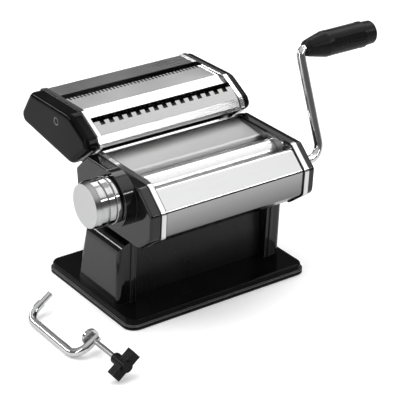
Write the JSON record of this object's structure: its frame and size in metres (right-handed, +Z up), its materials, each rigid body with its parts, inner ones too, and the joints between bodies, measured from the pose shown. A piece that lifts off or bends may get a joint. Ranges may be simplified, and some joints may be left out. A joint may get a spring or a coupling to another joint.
{
  "type": "pasta roller machine",
  "caption": "Hand-cranked pasta roller machine: twin smooth rollers with a thickness knob, a lift-off cutting unit with fine and wide slots, a crank handle and a screw clamp for the table edge.",
  "frame": {"origin": "centre of the base's underside, on the surface it stands on", "axes": "+X along the rollers towards the crank, -Y towards the side where the dough comes out, +Z up"},
  "size_m": [0.3704, 0.2693, 0.2289],
  "materials": {
    "gloss_black": "glossy black, slightly rounded edges",
    "chrome_sheet": "polished steel sheet",
    "brushed_plate": "satin steel sheet",
    "roller_steel": "ground steel",
    "machined_steel": "machined steel",
    "bearing_bronze": "oiled bronze",
    "satin_silver": "turned face, polished sides",
    "polished_rod": "bright chrome",
    "black_grip": "semi-gloss moulded plastic",
    "black_panel": "black paint",
    "comb_plastic": "black moulded plastic",
    "foot_rubber": "soft rubber"
  },
  "bodies": {
    "root": {"base_tray": "gloss_black", "base_underplate": "brushed_plate", "rubber_pads": "foot_rubber", "leg_left": "gloss_black", "leg_right": "gloss_black", "leg_screws": "machined_steel", "front_wall": "black_panel", "rear_wall": "black_panel", "side_plate_left": "brushed_plate", "side_plate_right": "brushed_plate", "trim_left": "chrome_sheet", "trim_right": "chrome_sheet", "end_cap_left": "gloss_black", "end_cap_right": "gloss_black", "front_cover": "chrome_sheet", "rear_cover": "chrome_sheet", "bottom_pan": "brushed_plate", "hopper_plate": "brushed_plate", "hopper_guides": "brushed_plate", "tie_rods": "machined_steel", "tie_rod_nuts": "machined_steel", "front_bushes": "bearing_bronze", "front_scraper": "machined_steel", "dial_boss": "gloss_black"},
    "front_roller": {"front_roller": "roller_steel", "front_gear": "machined_steel"},
    "rear_carriage": {"bearing_block_left": "machined_steel", "bearing_block_right": "machined_steel", "rear_scraper": "machined_steel"},
    "rear_roller": {"rear_roller": "roller_steel", "rear_gear": "machined_steel"},
    "regulator": {"regulator_shaft": "machined_steel", "knob_spring": "machined_steel"},
    "knob": {"knob": "satin_silver", "knob_cover": "satin_silver", "knob_detent": "machined_steel"},
    "crank": {"crank_rod": "polished_rod"},
    "grip": {"crank_grip": "black_grip"},
    "cutter": {"cutter_side_plates": "brushed_plate", "cutter_trims": "chrome_sheet", "cutter_hooks": "brushed_plate", "cutter_cap_left": "gloss_black", "cutter_cap_right": "gloss_black", "cutter_rear_cover": "chrome_sheet", "ridge_plate": "chrome_sheet", "cutter_front_plate": "chrome_sheet", "cutter_belly": "brushed_plate", "fine_combs": "comb_plastic", "wide_combs": "comb_plastic", "cutter_bushes": "bearing_bronze", "cutter_tie_rods": "machined_steel", "cutter_cap_screws": "machined_steel"},
    "fine_roller_front": {"fine_roller_front": "roller_steel"},
    "fine_roller_rear": {"fine_roller_rear": "roller_steel"},
    "wide_roller_front": {"wide_roller_front": "roller_steel"},
    "wide_roller_rear": {"wide_roller_rear": "roller_steel"},
    "clamp": {"clamp_frame": "polished_rod"},
    "clamp_pad": {"clamp_pad": "polished_rod"},
    "clamp_screw": {"clamp_screw": "machined_steel", "clamp_knob": "black_grip"}
  },
  "joints": [
    {"name": "roller_turn", "type": "hinge", "parent": "root", "child": "front_roller", "pos_m": [0, -0.0757, 0.1209], "axis": [1, 0, 0], "continuous": true},
    {"name": "rear_roller_turn", "type": "hinge", "parent": "rear_carriage", "child": "rear_roller", "pos_m": [0, -0.05, 0.1265], "axis": [1, 0, 0], "continuous": true},
    {"name": "knob_turn", "type": "hinge", "parent": "root", "child": "regulator", "pos_m": [-0.1, -0.05, 0.1265], "axis": [-1, 0, 0], "range_deg": [0, 324]},
    {"name": "knob_pull", "type": "slide", "parent": "regulator", "child": "knob", "axis": [-1, 0, 0], "range_m": [0, 0.006], "stiffness_N_per_m": 600, "springref_m": -0.004, "deforming": ["knob_spring"]},
    {"name": "gap_slide", "type": "slide", "parent": "root", "child": "rear_carriage", "axis": [0, 1, 0], "range_m": [0, 0.0025]},
    {"name": "crank_pull", "type": "slide", "parent": "front_roller", "child": "crank", "axis": [1, 0, 0], "range_m": [0, 0.05]},
    {"name": "grip_spin", "type": "hinge", "parent": "crank", "child": "grip", "pos_m": [0.155, -0.03915, 0.21613], "axis": [1, 0, 0], "continuous": true},
    {"name": "cutter_lift", "type": "slide", "parent": "root", "child": "cutter", "axis": [0, 0, 1], "range_m": [0, 0.06]},
    {"name": "fine_turn", "type": "hinge", "parent": "cutter", "child": "fine_roller_rear", "pos_m": [0, 0.0791, 0.1535], "axis": [1, 0, 0], "continuous": true},
    {"name": "fine_front_turn", "type": "hinge", "parent": "cutter", "child": "fine_roller_front", "pos_m": [0, 0.0635, 0.1535], "axis": [1, 0, 0], "continuous": true},
    {"name": "wide_turn", "type": "hinge", "parent": "cutter", "child": "wide_roller_rear", "pos_m": [0, 0.0361, 0.1548], "axis": [1, 0, 0], "continuous": true},
    {"name": "wide_front_turn", "type": "hinge", "parent": "cutter", "child": "wide_roller_front", "pos_m": [0, 0.0205, 0.1548], "axis": [1, 0, 0], "continuous": true},
    {"name": "clamp_lift", "type": "slide", "parent": "root", "child": "clamp", "axis": [0, 0, 1], "range_m": [0, 0.15]},
    {"name": "pad_travel", "type": "slide", "parent": "clamp", "child": "clamp_pad", "axis": [0, 1, 0], "range_m": [0, 0.03]},
    {"name": "screw_turn", "type": "hinge", "parent": "clamp_pad", "child": "clamp_screw", "pos_m": [-0.14788, -0.1, 0.01498], "axis": [0, 1, 0], "range_deg": [0, 8640.5]}
  ],
  "couplings": [
    {"joint": "rear_roller_turn", "follows": "roller_turn", "ratio": -1},
    {"joint": "knob_turn", "follows": "gap_slide", "rad_per_m": 2261.9},
    {"joint": "fine_front_turn", "follows": "fine_turn", "ratio": -1},
    {"joint": "wide_front_turn", "follows": "wide_turn", "ratio": -1},
    {"joint": "screw_turn", "follows": "pad_travel", "rad_per_m": 5026.5}
  ]
}
